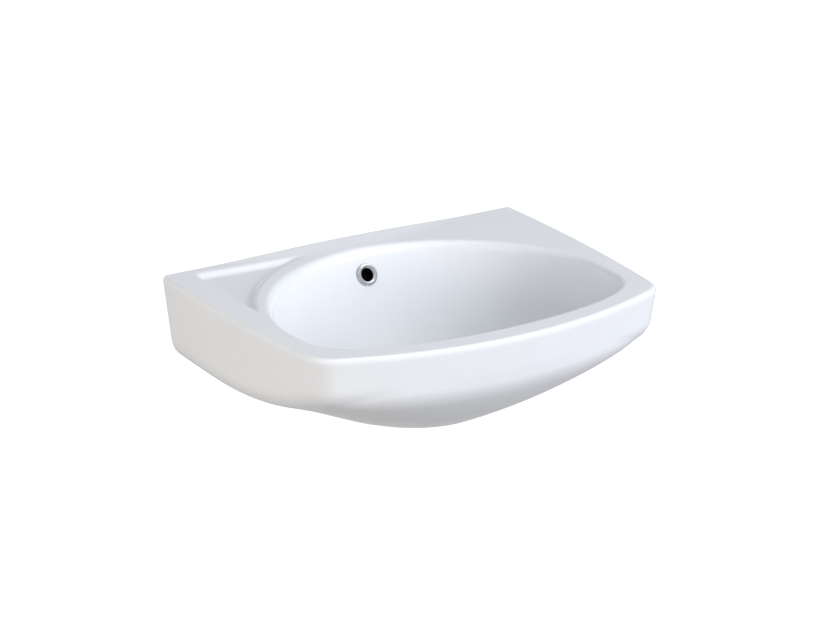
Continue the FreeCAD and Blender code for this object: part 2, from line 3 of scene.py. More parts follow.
import bpy
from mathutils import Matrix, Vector


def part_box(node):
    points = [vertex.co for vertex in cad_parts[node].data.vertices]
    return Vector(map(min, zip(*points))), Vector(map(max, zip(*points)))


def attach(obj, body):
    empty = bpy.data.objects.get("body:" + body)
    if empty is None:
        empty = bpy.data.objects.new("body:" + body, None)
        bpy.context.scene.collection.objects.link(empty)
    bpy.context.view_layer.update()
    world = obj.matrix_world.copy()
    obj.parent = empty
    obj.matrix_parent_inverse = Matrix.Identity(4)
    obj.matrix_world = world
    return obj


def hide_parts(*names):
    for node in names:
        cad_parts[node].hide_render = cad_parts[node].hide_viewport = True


# A wall hung basin of glazed ceramic, with a chrome overflow ring, a push-open waste and its wall fixings.
# The shape is worked out in millimetres, and MM turns it to metres.
# X runs along the wall, -Y points into the room, +Z is up, and depths are counted down from the deck.
MM = 0.001
DECK = 60.0

# The ceramic body's outside, seen from above.
HALF_WIDTH = 280.75
REACH = 443.5
WIDEST = 100.0
SIDE_BOW = 2400.0
FRONT_BOW = 600.0
CORNER = 42.0
LEAN = math.tan(math.radians(7))

# Its heights and roundings.
SIDE_DEPTH = 126.0
SIDE_RUN = 52.0
APRON_DEPTH = 60.0
UNDER_ROUND = 38.0
DECK_ROUND = 9.0
BELLY_DEPTH = 170.0
BELLY_TOP = 48.0
BELLY_HALF_WIDTH = 255.0
BELLY_REAR = 60.0
BELLY_FRONT = 436.5
BELLY_POWER = 4.5               # how square its front corners are at the top
OVAL_POWER = 1.88               # how full the other ends of every oval are
CREASE_EASE = 0.08
FOLD = 26.0                     # how softly the apron and the sides run into the belly

# The bowl.
BOWL_DEPTH = 145.0
OUTLET = (0.0, -185.0)
OUTLET_RADIUS = 23.0
SUMP_RADIUS = 37.0
RIM_ROUND_FRONT = 9.0
RIM_ROUND_REAR = 15.0
OVERFLOW_DEPTH = 31.0
BOWL_HALF_WIDTH = 238.0
BOWL_REAR, BOWL_REAR_LOW = 52.0, 148.0
BOWL_FRONT, BOWL_FRONT_LOW = 402.0, 222.0
BOWL_WIDEST, BOWL_WIDEST_LOW = 268.0, 185.0

# The deck's low crown at the wall, and the soap recess.
CROWN_HEIGHT = 3.5
CROWN_DEPTH = 38.0
CROWN_FALL = 8753.0             # square of the distance along the wall over which it falls by 1 mm
RECESS_DEPTH = 6.0
RECESS_LEFT = 241.0
RECESS_CORNER = (-240.0, -12.0)
RECESS_SLANT = (160.0, 12.0)    # how its rear edge runs away from the wall

# The hollow behind the belly, and the holes.
BACK_WALL = 14.0
HOLLOW_HALF_WIDTH, HOLLOW_REACH = 212.0, 190.0
HOLLOW_TOP, HOLLOW_FOOT = 14.0, 150.0
COVER_CENTRE = 286.0            # of the two cones that cover the bowl and the belly
NOTCH_TOP, NOTCH_FOOT = 88.0, 160.0
RIB_HALF_WIDTH = 30.0
RIB_REACH = 37.0
STUD_PLACE = 140.0
STUD_HOLE_RADIUS = 14.0
OVERFLOW_RADIUS = 12.0

# How finely the ceramic is divided.
REAR_LEFT, REAR_RIGHT = 60, 34
SIDE_LEFT, SIDE_RIGHT = 64, 40
CORNER_STEPS = 14
FRONT_STEPS = 62
BOWL_STEPS = 38
RIM_STEPS = 10
DECK_STEPS = 56
EDGE_STEPS = 9
WALL_STEPS = 6
UNDER_STEPS = 12
BELLY_STEPS = 42


# ---- Small helpers ----

def colour(code):
    """A colour of six hex digits, as sRGB, turned to the linear values that a shader takes."""
    parts = [int(code[i:i + 2], 16) / 255 for i in (0, 2, 4)]
    linear = [p / 12.92 if p <= 0.04045 else ((p + 0.055) / 1.055) ** 2.4 for p in parts]
    return (*linear, 1.0)


def mix(a, b, share):
    """The value this share of the way from a to b."""
    return a + (b - a) * share


def soft_step(value):
    """0 below 0 and 1 above 1, with a soft start and end."""
    value = min(max(value, 0.0), 1.0)
    return value * value * (3 - 2 * value)


def soft_max(a, b, width):
    """The higher of two values, blended where they are nearly the same."""
    near = max(width - abs(a - b), 0.0) / width
    return max(a, b) + near * near * width / 4


def nothing_selected():
    """Leaves every object unselected."""
    for thing in bpy.context.selected_objects:
        thing.select_set(False)


def picked(thing):
    """Makes this the only selected object."""
    nothing_selected()
    thing.select_set(True)
    bpy.context.view_layer.objects.active = thing
    return thing


def settled(thing, name):
    """Names a new piece, and puts its place, turn and size into its mesh."""
    picked(thing)
    bpy.ops.object.transform_apply(location=True, rotation=True, scale=True)
    thing.name = name
    thing.data.name = name
    return thing


def cut_by(thing, cutter):
    """Takes one closed shape out of another, and throws the cutter away."""
    picked(thing)
    cut = thing.modifiers.new("cut", "BOOLEAN")
    cut.operation = "DIFFERENCE"
    cut.solver = "EXACT"
    cut.object = cutter
    if cutter.data.materials:
        cut.material_mode = "TRANSFER"
    bpy.ops.object.modifier_apply(modifier=cut.name)
    bpy.data.objects.remove(cutter)


# ---- The ceramic body's outlines, in millimetres ----

def tray_outline(depth, inset):
    """The tray's closed outline at a depth, smaller all round by the inset: rear, right, front, left."""
    side = SIDE_BOW - depth * LEAN - inset
    front = FRONT_BOW - depth * LEAN - inset
    bend = max(CORNER - inset, 1.0)
    side_x = HALF_WIDTH - SIDE_BOW
    front_y = FRONT_BOW - REACH
    # centre of the right front corner's rounding, at its distance from both bows' centres
    dx, dy = -side_x, front_y + WIDEST
    gap = math.hypot(dx, dy)
    along = ((side - bend) ** 2 - (front - bend) ** 2 + gap ** 2) / (2 * gap)
    across = math.sqrt((side - bend) ** 2 - along ** 2)
    cx = side_x + (along * dx + across * dy) / gap
    cy = -WIDEST + (along * dy - across * dx) / gap
    turn_side = math.atan2(cy + WIDEST, cx - side_x)
    turn_front = math.atan2(cy - front_y, cx)
    side_end = -WIDEST + side * math.sin(turn_side)

    def side_place(y):
        return side_x + math.sqrt(side ** 2 - (y + WIDEST) ** 2), y

    corner_x = side_place(0.0)[0]
    rear = []
    for step in range(REAR_LEFT):
        rear.append((mix(-1.0, -0.2, step / REAR_LEFT) * corner_x, 0.0))
    for step in range(REAR_RIGHT):
        rear.append((mix(-0.2, 1.0, step / REAR_RIGHT) * corner_x, 0.0))
    right = [side_place(side_end * step / SIDE_RIGHT) for step in range(SIDE_RIGHT)]
    turns = [mix(turn_side, turn_front, step / CORNER_STEPS) for step in range(CORNER_STEPS)]
    corner = [(cx + bend * math.cos(turn), cy + bend * math.sin(turn)) for turn in turns]
    half = -math.pi / 2 - turn_front
    turns = [turn_front + 2 * half * step / FRONT_STEPS for step in range(FRONT_STEPS)]
    apron = [(front * math.cos(turn), front_y + front * math.sin(turn)) for turn in turns]
    turns = [mix(turn_front, turn_side, step / CORNER_STEPS) for step in range(CORNER_STEPS)]
    far_corner = [(-cx - bend * math.cos(turn), cy + bend * math.sin(turn)) for turn in turns]
    left = []
    for step in range(SIDE_LEFT):
        share = (1 - step / SIDE_LEFT) ** 1.35
        x, y = side_place(side_end * share)
        left.append((-x, y))
    return rear + right + corner + apron + far_corner + left


def underside_depth(x, y):
    """Depth of the tray's underside, level near the wall and rising towards the room."""
    level_run = math.hypot(HALF_WIDTH, FRONT_BOW - REACH + SIDE_RUN)
    rise = SIDE_DEPTH - APRON_DEPTH
    width = FRONT_BOW - level_run
    radius = (width ** 2 + rise ** 2) / (2 * rise)
    out = max(math.hypot(x, y - (FRONT_BOW - REACH)) - level_run, 0.0)
    return SIDE_DEPTH - radius + math.sqrt(radius ** 2 - out ** 2)


def oval_value(x, y, half_width, rear, front, widest, front_power):
    """Below 1 inside an oval that is rounder towards the wall than towards the room."""
    out = y + widest
    reach = widest - rear if out > 0 else front - widest
    power = OVAL_POWER if out > 0 else front_power
    # a hair of softness keeps the outline from creasing where it is widest
    along = ((out / reach) ** 2 + CREASE_EASE ** 2) ** (power / 2) - CREASE_EASE ** power
    return abs(x / half_width) ** OVAL_POWER + along


def belly_value(x, y, share):
    """Below 1 inside the belly, this share of the way down it."""
    half_width = BELLY_HALF_WIDTH - 151 * share ** 1.7
    rear = BELLY_REAR + 58 * share
    front = BELLY_FRONT - 140.5 * share ** 1.75
    power = BELLY_POWER - (BELLY_POWER - OVAL_POWER) * share
    return oval_value(x, y, half_width, rear, front, (rear + front) / 2, power)


def belly_depth(x, y):
    """Depth of the belly below a place, falling away quickly outside it."""
    at_top = belly_value(x, y, 0.0)
    if at_top > 1:
        return BELLY_TOP - 1500 * (at_top - 1)
    low, high = 0.0, 1.0
    for halving in range(22):
        middle = (low + high) / 2
        if belly_value(x, y, middle) < 1:
            low = middle
        else:
            high = middle
    return mix(BELLY_TOP, BELLY_DEPTH, low)


def eased(start, end, share, power, roundness):
    """Leaves start slowly and turns level at end, along a rounded quarter."""
    kept = (1 - share ** power) ** (1 / roundness) if share < 1 else 0.0
    return end + (start - end) * kept


def bowl_rear(share):
    """How far from the wall the bowl begins, this share of the way down it."""
    return eased(BOWL_REAR, BOWL_REAR_LOW, share, 1.2, 1.1)


def bowl_value(x, y, share):
    """Below 1 inside the bowl, this share of the way down it."""
    half_width = eased(BOWL_HALF_WIDTH, SUMP_RADIUS, share, 4, 1.6)
    front = eased(BOWL_FRONT, BOWL_FRONT_LOW, share, 5, 1.6)
    widest = eased(BOWL_WIDEST, BOWL_WIDEST_LOW, share, 4, 1.6)
    power = eased(4, OVAL_POWER, share, 4, 1.6)
    return oval_value(x, y, half_width, bowl_rear(share), front, widest, power)


def run_out(value, share, turn):
    """How far from the outlet's axis, in this direction, an oval lies."""
    low, high = 0.0, 520.0
    for halving in range(30):
        middle = (low + high) / 2
        x = OUTLET[0] + middle * math.cos(turn)
        y = OUTLET[1] + middle * math.sin(turn)
        if value(x, y, share) < 1:
            low = middle
        else:
            high = middle
    return low


def at_turn(run, turn, depth):
    """A place at this distance and direction from the outlet's axis, and at this depth."""
    return OUTLET[0] + run * math.cos(turn), OUTLET[1] + run * math.sin(turn), depth


def rounded(start, corner, end, share, weight):
    """A place on the rounding of a corner, from start to end."""
    a, b, c = (1 - share) ** 2, 2 * weight * share * (1 - share), share ** 2
    whole = a + b + c
    return tuple((a * s + b * m + c * e) / whole for s, m, e in zip(start, corner, end))


def deck_rise(x, y):
    """Height of the deck over its level: a low crown at the wall, less the soap recess."""
    crown = soft_max(CROWN_HEIGHT * (1 + y / CROWN_DEPTH) - x * x / CROWN_FALL, 0.0, 1.2)
    # the recess lies to the left of these, in the rear corner
    if x > -50 or y < -260:
        return crown
    # distances in from the recess's outer edge, its rear edge and its edge along the bowl
    outer = x + RECESS_LEFT
    along, away = RECESS_SLANT
    rear = (-(y - RECESS_CORNER[1]) * along - (x - RECESS_CORNER[0]) * away) / math.hypot(along, away)
    ridge = math.hypot(x - RIDGE[0], y - RIDGE[1]) - RIDGE[2] + 1
    sunk = soft_step(outer / 8) * soft_step(rear / 19) * soft_step(ridge / 15)
    return crown - RECESS_DEPTH * sunk


def circle_through(a, b, c):
    """Centre and radius of the circle through three places."""
    d = 2 * (a[0] * (b[1] - c[1]) + b[0] * (c[1] - a[1]) + c[0] * (a[1] - b[1]))
    aa, bb, cc = (p[0] ** 2 + p[1] ** 2 for p in (a, b, c))
    x = (aa * (b[1] - c[1]) + bb * (c[1] - a[1]) + cc * (a[1] - b[1])) / d
    y = (aa * (c[0] - b[0]) + bb * (a[0] - c[0]) + cc * (b[0] - a[0])) / d
    return x, y, math.hypot(a[0] - x, a[1] - y)


RIDGE = circle_through((-72, -32), (-170, -89), (-240, -205))


def level_rear(ring):
    """Lays the ring's rear row straight between its two rear corners."""
    right = REAR_LEFT + REAR_RIGHT
    for place in range(1, right):
        across = mix(-1, -0.2, place / REAR_LEFT)
        if place > REAR_LEFT:
            across = mix(-0.2, 1, (place - REAR_LEFT) / REAR_RIGHT)
        ring[place] = (ring[right][0] * across, 0.0, ring[right][2])
    return ring


def bowl_rings(turns):
    """From the outlet's upper edge over the sump, up the bowl and round its rim."""
    rings = []
    for radius in (OUTLET_RADIUS, 26, 31, SUMP_RADIUS):
        rings.append([at_turn(radius, turn, BOWL_DEPTH) for turn in turns])
    rims = []
    for turn in turns:
        size = mix(RIM_ROUND_FRONT, RIM_ROUND_REAR, soft_step((math.sin(turn) + 0.35) / 1.3))
        rims.append(size)
    for step in range(1, BOWL_STEPS + 1):
        ring = []
        for turn, size in zip(turns, rims):
            first = size / BOWL_DEPTH
            share = mix(first, 1.0, math.sin(math.pi / 2 * (1 - step / BOWL_STEPS)))
            ring.append(at_turn(run_out(bowl_value, share, turn), turn, share * BOWL_DEPTH))
        rings.append(ring)
    edges = [run_out(bowl_value, 0.0, turn) for turn in turns]
    for step in range(1, RIM_STEPS + 1):
        ring = []
        for place, (turn, size, edge) in enumerate(zip(turns, rims, edges)):
            start = rings[3 + BOWL_STEPS][place]
            corner = at_turn(edge, turn, 0.0)
            end = at_turn(edge + size, turn, 0.0)
            ring.append(rounded(start, corner, end, step / RIM_STEPS, 0.72))
        rings.append(ring)
    return rings


def deck_rings(inner, outer):
    """Across the deck, from the bowl's rim to the tray's outline."""
    rings = []
    for step in range(1, DECK_STEPS + 1):
        share = step / DECK_STEPS
        rings.append([tuple(mix(a, b, share) for a, b in zip(p, q)) for p, q in zip(inner, outer)])
    return rings


def outside_rings():
    """Over the deck's edge, down the walls and round below them."""
    half_turn = math.radians(83) / 2
    run = DECK_ROUND * math.tan(half_turn)
    start = [(*place, 0.0) for place in tray_outline(0, run)]
    corner = [(*place, 0.0) for place in tray_outline(0, 0)]
    end = [(*place, run) for place in tray_outline(run, 0)]
    rings = [start]
    for step in range(1, EDGE_STEPS + 1):
        share = step / EDGE_STEPS
        rings.append([rounded(a, b, c, share, math.cos(half_turn)) for a, b, c in zip(start, corner, end)])
        level_rear(rings[-1])
    count = len(start)
    low = tray_outline(SIDE_DEPTH, 0)

    def wall_place(place, depth):
        share = (depth - run) / (SIDE_DEPTH - run)
        x, y = (mix(a, b, share) for a, b in zip(end[place], low[place]))
        return x, y, depth

    inner = tray_outline(80, 6)
    outer = tray_outline(80, 0)
    tops, folds, ends, weights = [], [], [], []
    for place in range(count):
        depth = SIDE_DEPTH
        for settling in range(12):
            x, y, depth = wall_place(place, depth)
            depth = mix(depth, underside_depth(x, y), 0.7)
        x, y, depth = wall_place(place, depth)
        way_x, way_y = inner[place][0] - outer[place][0], inner[place][1] - outer[place][1]
        length = math.hypot(way_x, way_y) or 1.0
        way_x, way_y = way_x / length, way_y / length
        slope = math.atan((underside_depth(x + way_x, y + way_y) - depth))
        bend = (math.pi / 2 - math.radians(7) - slope) / 2
        back = UNDER_ROUND * math.tan(bend)
        tops.append(wall_place(place, depth - back * math.cos(math.radians(7))))
        folds.append((x, y, depth))
        far_x, far_y = x + way_x * back * math.cos(slope), y + way_y * back * math.cos(slope)
        ends.append((far_x, far_y, underside_depth(far_x, far_y)))
        weights.append(math.cos(bend))
    for step in range(1, WALL_STEPS + 1):
        share = step / WALL_STEPS
        ring = [wall_place(place, mix(run, tops[place][2], share)) for place in range(count)]
        rings.append(level_rear(ring))
    for step in range(1, UNDER_STEPS + 1):
        share = step / UNDER_STEPS
        ring = [rounded(a, b, c, share, w) for a, b, c, w in zip(tops, folds, ends, weights)]
        rings.append(level_rear(ring))
    return rings


def belly_rings(outer, turns):
    """From the end of the rounding, along the underside and down the belly to its flat foot."""
    foot = [at_turn(run_out(belly_value, 1.0, turn), turn, BELLY_DEPTH) for turn in turns]
    rings = []
    for step in range(1, BELLY_STEPS + 1):
        share = step / BELLY_STEPS
        ring = []
        for p, q in zip(outer, foot):
            x, y = mix(p[0], q[0], share), mix(p[1], q[1], share)
            ring.append((x, y, underside_depth(x, y)))
        rings.append(ring)
    for radius in (60.0, 36.0, 26.0, OUTLET_RADIUS):
        rings.append([at_turn(radius, turn, BELLY_DEPTH) for turn in turns])
    rings.append([at_turn(OUTLET_RADIUS, turn, mix(BELLY_DEPTH, BOWL_DEPTH, 0.5)) for turn in turns])
    return rings


def with_belly(ring):
    """The ring, sunk to the belly where that lies deeper."""
    sunk = []
    for x, y, depth in ring:
        if depth < BELLY_DEPTH - 0.01:
            depth = min(soft_max(depth, belly_depth(x, y), FOLD), BELLY_DEPTH)
        sunk.append((x, y, depth))
    return sunk


def ceramic_rings():
    """Every ring of the ceramic body, from the outlet over the deck and back to the outlet from below."""
    outside = outside_rings()
    turns = [math.atan2(y - OUTLET[1], x - OUTLET[0]) for x, y, depth in outside[0]]
    bowl = bowl_rings(turns)
    deck = deck_rings(bowl[-1], outside[0])
    edge_end = 1 + EDGE_STEPS + WALL_STEPS
    under = [with_belly(ring) for ring in outside[edge_end:]]
    belly = belly_rings(outside[-1], turns)
    belly = [with_belly(ring) for ring in belly[:BELLY_STEPS]] + belly[BELLY_STEPS:]
    return bowl + deck + outside[1:edge_end] + under + belly


# ---- Pieces ----

def ceramic_body():
    """The glazed body: one sheet laid round in rings, then hollowed and drilled."""
    rings = ceramic_rings()
    rings.append(rings[0])
    columns = len(rings[0])
    nothing_selected()
    bpy.ops.mesh.primitive_grid_add(x_subdivisions=columns, y_subdivisions=len(rings) - 1, size=1)
    body = bpy.context.object
    places = []
    for ring in rings:
        for x, y, depth in ring + ring[:1]:
            rise = deck_rise(x, y) * (1 - soft_step(depth / 9)) if depth < 9 else 0.0
            places += [x * MM, y * MM, (DECK - depth + rise) * MM]
    body.data.vertices.foreach_set("co", places)
    body.data.update()
    picked(body)
    bpy.ops.object.mode_set(mode="EDIT")
    bpy.ops.mesh.select_all(action="SELECT")
    bpy.ops.mesh.remove_doubles(threshold=0.00001)
    bpy.ops.mesh.normals_make_consistent(inside=False)
    bpy.ops.object.mode_set(mode="OBJECT")
    settled(body, "glazed_basin")
    cut_by(body, hollow_cutter())
    cut_by(body, wall_notch_cutter())
    for x in (-STUD_PLACE, STUD_PLACE):
        cut_by(body, drill("stud_drill", (x, -BACK_WALL / 2, 0.0), (0, 1, 0), STUD_HOLE_RADIUS, 40.0))
    # the overflow is drilled square to the bowl's rear wall
    share = OVERFLOW_DEPTH / BOWL_DEPTH
    near = 0.003
    slope = bowl_rear(share + near) - bowl_rear(share - near)
    facing = Vector((0, -1, slope / (2 * near * BOWL_DEPTH))).normalized()
    place = (0, -bowl_rear(share), DECK - OVERFLOW_DEPTH)
    overflow = drill("overflow_drill", place, facing, OVERFLOW_RADIUS, 34.0)
    # the drill carries a near-black painted shade, which the walls of the overflow hole take on when it is
    # cut
    body.data.materials.append(china)
    overflow.data.materials.append(overflow_painted_shade)
    cut_by(body, overflow)
    within_frame(body, "ceramic_basin")
    picked(body)
    bpy.ops.object.shade_smooth_by_angle(angle=math.radians(34))
    return body


def within_frame(thing, solid):
    """Draws the piece in by a hair where it passes the solid that it stands for."""
    low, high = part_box(solid)
    points = [vertex.co for vertex in thing.data.vertices]
    for axis in range(3):
        for limit, worst in ((low[axis], min), (high[axis], max)):
            reached = worst(point[axis] for point in points)
            if abs(reached) > abs(limit) > 0.01:
                scale = limit / reached
                for point in points:
                    if point[axis] * limit > 0:
                        point[axis] *= scale
    thing.data.update()


def drill(name, centre, along, radius, length):
    """A round cutter about a centre, pointing along a direction."""
    nothing_selected()
    turn = Vector(along).to_track_quat("Z", "Y").to_euler()
    place = [value * MM for value in centre]
    bpy.ops.mesh.primitive_cylinder_add(
        vertices=64, radius=radius * MM, depth=length * MM, location=place, rotation=turn)
    return settled(bpy.context.object, name)


def box_cutter(name, x, y, z):
    """A square cutter between two values on each axis, in millimetres."""
    nothing_selected()
    centre = [(pair[0] + pair[1]) / 2 * MM for pair in (x, y, z)]
    size = [(pair[1] - pair[0]) * MM for pair in (x, y, z)]
    bpy.ops.mesh.primitive_cube_add(size=1, location=centre)
    bpy.ops.transform.resize(value=size)
    return settled(bpy.context.object, name)


def cover(name, low_radius, high_radius, height, middle):
    """A cone that keeps a wall's thickness of clay between the hollow and the bowl."""
    nothing_selected()
    bpy.ops.mesh.primitive_cone_add(
        vertices=128, radius1=low_radius * MM, radius2=high_radius * MM, depth=height * MM,
        location=(0, -COVER_CENTRE * MM, middle * MM))
    return settled(bpy.context.object, name)


def hollow_cutter():
    """The space behind the belly: half round, standing off the bowl and the overflow's rib."""
    nothing_selected()
    top, foot = DECK - HOLLOW_TOP, DECK - HOLLOW_FOOT
    bpy.ops.mesh.primitive_cylinder_add(
        vertices=128, radius=HOLLOW_HALF_WIDTH * MM, depth=(top - foot) * MM,
        location=(0, 0, (top + foot) / 2 * MM))
    cutter = bpy.context.object
    bpy.ops.transform.resize(value=(1, HOLLOW_REACH / HOLLOW_HALF_WIDTH, 1))
    settled(cutter, "hollow_cutter")
    cut_by(cutter, box_cutter("back_wall", (-300, 300), (-BACK_WALL, 300), (-200, 200)))
    cut_by(cutter, cover("bowl_cover", 246.0, 250.0, 80.0, 20.0))
    cut_by(cutter, cover("belly_cover", 172.0, 246.2, 70.0, -54.9))
    rib = (-RIB_HALF_WIDTH, RIB_HALF_WIDTH)
    cut_by(cutter, box_cutter("overflow_rib", rib, (-200, -RIB_REACH), (-200, 200)))
    return cutter


def wall_notch_cutter():
    """The gap below the back wall."""
    across = (-HOLLOW_HALF_WIDTH, HOLLOW_HALF_WIDTH)
    return box_cutter("wall_notch", across, (-BACK_WALL - 1, 20), (DECK - NOTCH_FOOT, DECK - NOTCH_TOP))


def carried_over(solid, name, soften=0.0):
    """A merged and smoothly shaded copy of a solid, with its edges softened, that stands for it."""
    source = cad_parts[solid]
    copy = bpy.data.objects.new(name, source.data.copy())
    bpy.context.scene.collection.objects.link(copy)
    picked(copy)
    bpy.ops.object.mode_set(mode="EDIT")
    bpy.ops.mesh.select_all(action="SELECT")
    bpy.ops.mesh.remove_doubles(threshold=0.00001)
    bpy.ops.mesh.dissolve_limited(angle_limit=math.radians(0.5))
    bpy.ops.object.mode_set(mode="OBJECT")
    if soften:
        edge = copy.modifiers.new("edge", "BEVEL")
        edge.width = soften * MM
        edge.segments = 3
        edge.limit_method = "ANGLE"
        edge.angle_limit = math.radians(28)
        bpy.ops.object.modifier_apply(modifier=edge.name)
    bpy.ops.object.shade_smooth_by_angle(angle=math.radians(34))
    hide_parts(solid)
    return copy


# ---- Finishes ----

def finish_named(name):
    """A new material with its main shader, and the tools to add nodes to it."""
    material = bpy.data.materials.new(name)
    material.use_nodes = True
    tree = material.node_tree
    return material, tree, tree.nodes["Principled BSDF"]


def node(tree, kind, settings=None, values=None, links=None):
    """Adds one shader node, with its settings, its values and what feeds it."""
    made = tree.nodes.new(kind)
    for key, value in (settings or {}).items():
        setattr(made, key, value)
    for key, value in (values or {}).items():
        made.inputs[key].default_value = value
    for key, source in (links or {}).items():
        tree.links.new(source, made.inputs[key])
    return made


def glazed_ceramic():
    """Vitreous china, cast and fired under a thick white glaze: glassy, very slightly wavy, faintly cool.
    The back that lies on the wall is bare biscuit, matt and a little warmer."""
    material, tree, shader = finish_named("glazed_vitreous_china")
    place = node(tree, "ShaderNodeTexCoord").outputs["Object"]
    # the glaze pools by a hair over patches of about 60 mm
    pooling = node(tree, "ShaderNodeTexNoise", values={"Scale": 16.0, "Detail": 2.0}, links={"Vector": place})
    glaze = node(tree, "ShaderNodeValToRGB", links={"Fac": pooling.outputs["Fac"]})
    glaze.color_ramp.elements[0].color = colour("E3E5E8")
    glaze.color_ramp.elements[1].color = colour("E8EAED")
    # grains of fired clay, 0.6 mm, drawn coarser than real so that they show
    grains = node(tree, "ShaderNodeTexNoise", values={"Scale": 1600.0, "Detail": 3.0},
                  links={"Vector": place})
    biscuit = node(tree, "ShaderNodeValToRGB", links={"Fac": grains.outputs["Fac"]})
    biscuit.color_ramp.elements[0].color = colour("D9D5CC")
    biscuit.color_ramp.elements[1].color = colour("E8E5DD")
    # bare within 0.4 mm of the wall plane, and glazed from 1.2 mm on
    parts = node(tree, "ShaderNodeSeparateXYZ", links={"Vector": place})
    bare = node(tree, "ShaderNodeMapRange", values={"From Min": -0.0012, "From Max": -0.0004},
                links={"Value": parts.outputs["Y"]})
    tint = node(tree, "ShaderNodeMix", {"data_type": "RGBA"})
    tree.links.new(bare.outputs["Result"], tint.inputs["Factor"])
    tree.links.new(glaze.outputs["Color"], tint.inputs["A"])
    tree.links.new(biscuit.outputs["Color"], tint.inputs["B"])
    tree.links.new(tint.outputs["Result"], shader.inputs["Base Color"])
    gloss = node(tree, "ShaderNodeMapRange", values={"To Min": 0.07, "To Max": 0.72},
                 links={"Value": bare.outputs["Result"]})
    tree.links.new(gloss.outputs["Result"], shader.inputs["Roughness"])
    # the glaze's slow waves, about 25 mm apart and 0.02 mm high
    waves = node(tree, "ShaderNodeTexNoise", values={"Scale": 40.0, "Detail": 1.0}, links={"Vector": place})
    rough = node(tree, "ShaderNodeBump", values={"Strength": 0.12, "Distance": 0.0002},
                 links={"Height": waves.outputs["Fac"]})
    clay = node(tree, "ShaderNodeBump", values={"Distance": 0.0002},
                links={"Height": grains.outputs["Fac"], "Normal": rough.outputs["Normal"]})
    tree.links.new(bare.outputs["Result"], clay.inputs["Strength"])
    tree.links.new(clay.outputs["Normal"], shader.inputs["Normal"])
    shader.inputs["IOR"].default_value = 1.52
    return material


def metal(name, code, low, high, grain):
    """A bare or plated metal whose gloss varies over marks of this size, in millimetres."""
    material, tree, shader = finish_named(name)
    place = node(tree, "ShaderNodeTexCoord").outputs["Object"]
    marks = node(tree, "ShaderNodeTexNoise", values={"Scale": 1000 / grain, "Detail": 3.0},
                 links={"Vector": place})
    gloss = node(tree, "ShaderNodeMapRange", values={"To Min": low, "To Max": high},
                 links={"Value": marks.outputs["Fac"]})
    tree.links.new(gloss.outputs["Result"], shader.inputs["Roughness"])
    shade = node(tree, "ShaderNodeHueSaturation", values={"Color": colour(code)})
    value = node(tree, "ShaderNodeMapRange", values={"To Min": 0.94, "To Max": 1.04},
                 links={"Value": marks.outputs["Fac"]})
    tree.links.new(value.outputs["Result"], shade.inputs["Value"])
    tree.links.new(shade.outputs["Color"], shader.inputs["Base Color"])
    shader.inputs["Metallic"].default_value = 1.0
    return material


def moulded(name, code, low, high, grain, height):
    """A moulded plastic or rubber with a fine grain, its size and height in millimetres."""
    material, tree, shader = finish_named(name)
    place = node(tree, "ShaderNodeTexCoord").outputs["Object"]
    skin = node(tree, "ShaderNodeTexNoise", values={"Scale": 1000 / grain, "Detail": 2.0},
                links={"Vector": place})
    gloss = node(tree, "ShaderNodeMapRange", values={"To Min": low, "To Max": high},
                 links={"Value": skin.outputs["Fac"]})
    tree.links.new(gloss.outputs["Result"], shader.inputs["Roughness"])
    shade = node(tree, "ShaderNodeHueSaturation", values={"Color": colour(code)})
    value = node(tree, "ShaderNodeMapRange", values={"To Min": 0.9, "To Max": 1.08},
                 links={"Value": skin.outputs["Fac"]})
    tree.links.new(value.outputs["Result"], shade.inputs["Value"])
    tree.links.new(shade.outputs["Color"], shader.inputs["Base Color"])
    bump = node(tree, "ShaderNodeBump", values={"Strength": 0.5, "Distance": height * MM},
                links={"Height": skin.outputs["Fac"]})
    tree.links.new(bump.outputs["Normal"], shader.inputs["Normal"])
    shader.inputs["IOR"].default_value = 1.5
    return material


# ---- Studio ----

def studio_floor():
    """A plain pale floor, as far below the basin as in a bathroom."""
    nothing_selected()
    bpy.ops.mesh.primitive_plane_add(size=14, location=(0, -1.5, -0.85))
    floor = settled(bpy.context.object, "floor")
    material, tree, shader = finish_named("pale_painted_floor")
    shader.inputs["Base Color"].default_value = colour("7A7A7A")
    shader.inputs["Roughness"].default_value = 0.8
    rays = node(tree, "ShaderNodeLightPath")
    # the glaze and the chrome mirror the floor dimmer than the camera sees it
    mirrored = node(tree, "ShaderNodeMath", {"operation": "MULTIPLY"},
                    links={0: rays.outputs["Is Glossy Ray"]})
    mirrored.inputs[1].default_value = 0.4
    seen = node(tree, "ShaderNodeMath", {"operation": "MAXIMUM"},
                links={0: rays.outputs["Is Camera Ray"], 1: mirrored.outputs["Value"]})
    shown = node(tree, "ShaderNodeMath", {"operation": "MAXIMUM"},
                 links={0: seen.outputs["Value"], 1: rays.outputs["Is Transmission Ray"]})
    tree.links.new(shown.outputs["Value"], shader.inputs["Emission Strength"])
    shader.inputs["Emission Color"].default_value = colour("F8F8F8")
    floor.data.materials.append(material)


